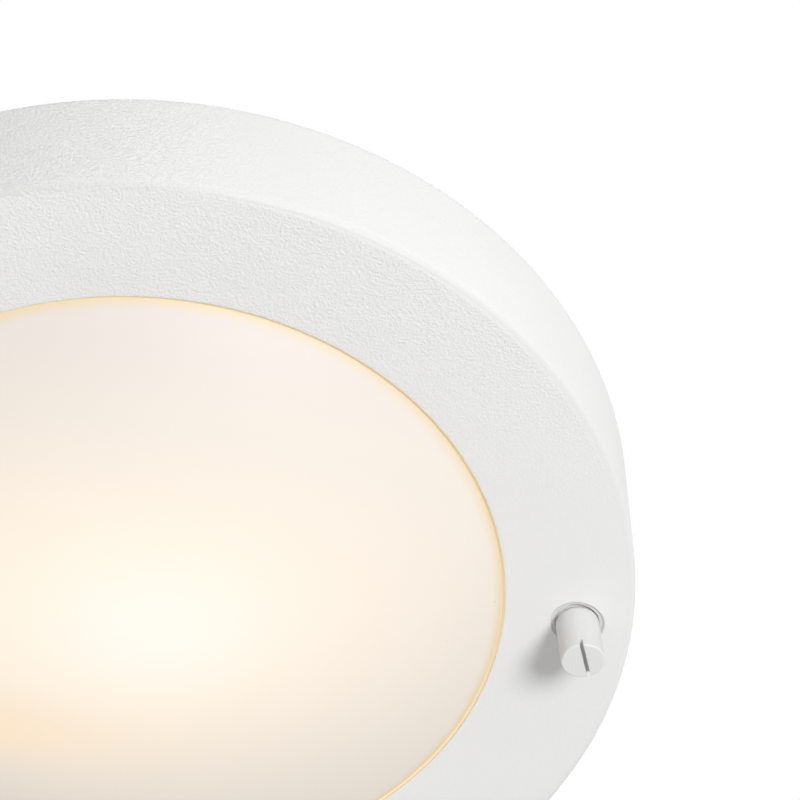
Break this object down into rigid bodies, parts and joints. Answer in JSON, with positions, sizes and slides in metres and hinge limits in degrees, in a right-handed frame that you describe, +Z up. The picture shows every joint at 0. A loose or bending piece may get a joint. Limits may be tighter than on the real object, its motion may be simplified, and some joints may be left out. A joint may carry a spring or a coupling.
{
  "type": "flush ceiling light",
  "caption": "Round flush ceiling light: white powder-coated steel ring with an opal glass dome, held by slotted screws to a pressed base with a screw-cap lampholder.",
  "frame": {"origin": "middle of the base plate's flat back, on the ceiling plane", "axes": "+Z up into the ceiling, the light hangs below z = 0; +X along the bulb's axis towards its globe and the first cover screw; +Y to the left of +X seen from above"},
  "size_m": [0.31, 0.31, 0.0743],
  "materials": {
    "white_powder_coat": "fine textured powder coat, matt",
    "white_enamel": "smooth semi-gloss stove enamel",
    "opal_glass": "acid-etched opal, glowing warm white",
    "clear_silicone": "milky, soft",
    "spring_steel": "rolled, faintly oiled",
    "zinc_plated_steel": "bright zinc",
    "white_nylon": "moulded, satin",
    "grey_foam": "closed-cell foam, cut edges",
    "grey_rubber": "moulded, matt",
    "ivory_thermoset": "pressed thermoset, semi-gloss",
    "brass": "turned",
    "nickelled_shell": "rolled, nickel-plated brass",
    "tinned_copper": "stamped, tinned",
    "brown_wire": "silicone-insulated",
    "blue_wire": "silicone-insulated",
    "green_yellow_wire": "two-colour stripe",
    "lit_bulb": "frosted envelope, lit; nickelled cap"
  },
  "bodies": {
    "base": {"base_plate": "white_enamel", "ceiling_seal": "grey_foam", "cable_grommet": "grey_rubber", "cover_pillar_1": "zinc_plated_steel", "cover_pillar_2": "zinc_plated_steel", "cover_pillar_3": "zinc_plated_steel", "lampholder_bracket": "white_enamel", "bracket_screws": "zinc_plated_steel", "lampholder_body": "ivory_thermoset", "lampholder_shell": "nickelled_shell", "centre_contact": "brass", "lampholder_screws": "zinc_plated_steel", "terminal_block": "white_nylon", "terminal_inserts": "brass", "terminal_screws": "brass", "block_screw": "zinc_plated_steel", "earth_screw": "brass", "earth_washer": "zinc_plated_steel", "earth_tag": "tinned_copper", "live_wire": "brown_wire", "neutral_wire": "blue_wire", "earth_wire": "green_yellow_wire", "bulb": "lit_bulb"},
    "cover": {"cover_ring": "white_powder_coat", "glass_diffuser": "opal_glass", "glass_gasket": "clear_silicone", "glass_clip_1": "spring_steel", "glass_clip_2": "spring_steel", "glass_clip_3": "spring_steel", "clip_stud_1": "zinc_plated_steel", "clip_stud_2": "zinc_plated_steel", "clip_stud_3": "zinc_plated_steel", "clip_nut_1": "zinc_plated_steel", "clip_nut_2": "zinc_plated_steel", "clip_nut_3": "zinc_plated_steel", "seat_washer_1": "white_nylon", "seat_washer_2": "white_nylon", "seat_washer_3": "white_nylon"},
    "screw_1": {"cover_screw_1": "white_powder_coat", "retaining_ring_1": "spring_steel"},
    "screw_2": {"cover_screw_2": "white_powder_coat", "retaining_ring_2": "spring_steel"},
    "screw_3": {"cover_screw_3": "white_powder_coat", "retaining_ring_3": "spring_steel"}
  },
  "joints": [
    {"name": "cover_drop", "type": "slide", "parent": "base", "child": "cover", "axis": [0, 0, -1], "range_m": [0, 0.1]},
    {"name": "screw_1_turn", "type": "hinge", "parent": "cover", "child": "screw_1", "pos_m": [0.1356, 0, -0.0431], "axis": [0, 0, 1], "continuous": true},
    {"name": "screw_2_turn", "type": "hinge", "parent": "cover", "child": "screw_2", "pos_m": [-0.0678, 0.11743, -0.0431], "axis": [0, 0, 1], "continuous": true},
    {"name": "screw_3_turn", "type": "hinge", "parent": "cover", "child": "screw_3", "pos_m": [-0.0678, -0.11743, -0.0431], "axis": [0, 0, 1], "continuous": true}
  ]
}
